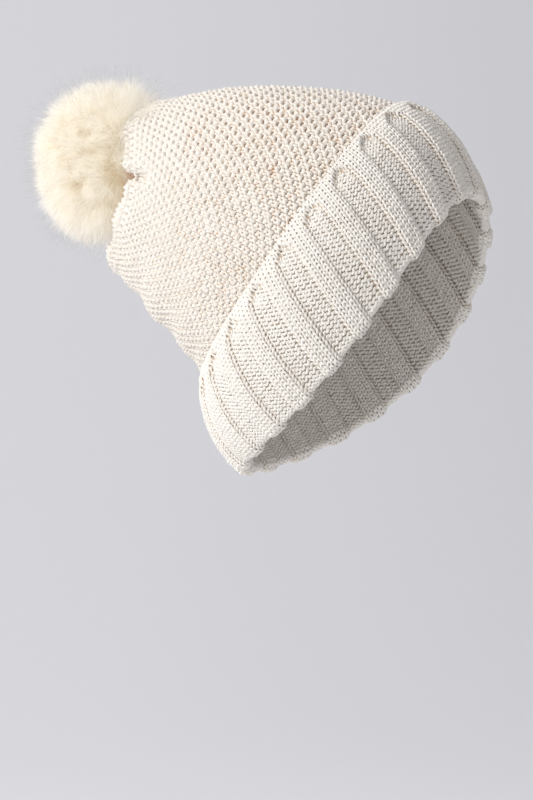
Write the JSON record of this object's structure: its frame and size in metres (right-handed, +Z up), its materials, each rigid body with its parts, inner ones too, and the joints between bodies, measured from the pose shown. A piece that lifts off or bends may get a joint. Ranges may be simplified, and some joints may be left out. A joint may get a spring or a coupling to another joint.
{
  "type": "pom pom beanie",
  "caption": "Knitted beanie with a deep turned-up ribbed cuff, a textured slouching crown and a faux fur pom pom tied on with elastic, shaped as worn.",
  "frame": {"origin": "centre of the head opening, midway between the folded edge at the forehead and at the nape, where the wearer's head holds the hat", "axes": "+Z is up as worn, -Y is the way the wearer faces, +X is the wearer's left; the crown tilts back towards +Y"},
  "size_m": [0.1902, 0.2885, 0.2408],
  "materials": {
    "crown_yarn": "thick soft cream yarn in a bumpy seed-like stitch",
    "cuff_yarn": "finer cream yarn in a four by four rib",
    "sewing_thread": "matt cream thread",
    "faux_fur": "long soft ivory pile with grey-tipped guard hairs",
    "fibre_filling": "loose white polyester fibre",
    "button_plastic": "satin",
    "elastic_cord": "braided round elastic",
    "label_cloth": "smooth woven satin tape, blank"
  },
  "bodies": {
    "hat": {"crown_shell": "crown_yarn", "cuff_band": "cuff_yarn", "linking_seam": "sewing_thread", "crown_back_seam": "sewing_thread", "cuff_back_seam": "sewing_thread", "crown_gather_thread": "sewing_thread", "cuff_tack_left": "sewing_thread", "cuff_tack_right": "sewing_thread", "anchor_button": "button_plastic", "label_stitches": "sewing_thread"},
    "tie": {"tie_elastic": "elastic_cord"},
    "pom": {"pom_cover": "faux_fur", "pom_filling": "fibre_filling", "pom_gather_thread": "sewing_thread"},
    "label": {"care_label": "label_cloth"}
  },
  "joints": [
    {"name": "pom_nod", "type": "hinge", "parent": "hat", "child": "tie", "pos_m": [0, 0.1405, 0.097], "axis": [1, 0, 0], "range_deg": [-28, 0], "stiffness_Nm_per_rad": 0.3, "deforming": ["tie_elastic"]},
    {"name": "pom_sway", "type": "hinge", "parent": "tie", "child": "pom", "pos_m": [0, 0.1405, 0.097], "axis": [0, -0.309, 0.9511], "range_deg": [-20, 20], "stiffness_Nm_per_rad": 0.3},
    {"name": "label_flap", "type": "hinge", "parent": "hat", "child": "label", "pos_m": [0, 0.10707, -0.00128], "axis": [1, 0, 0], "range_deg": [-100, 0]}
  ]
}
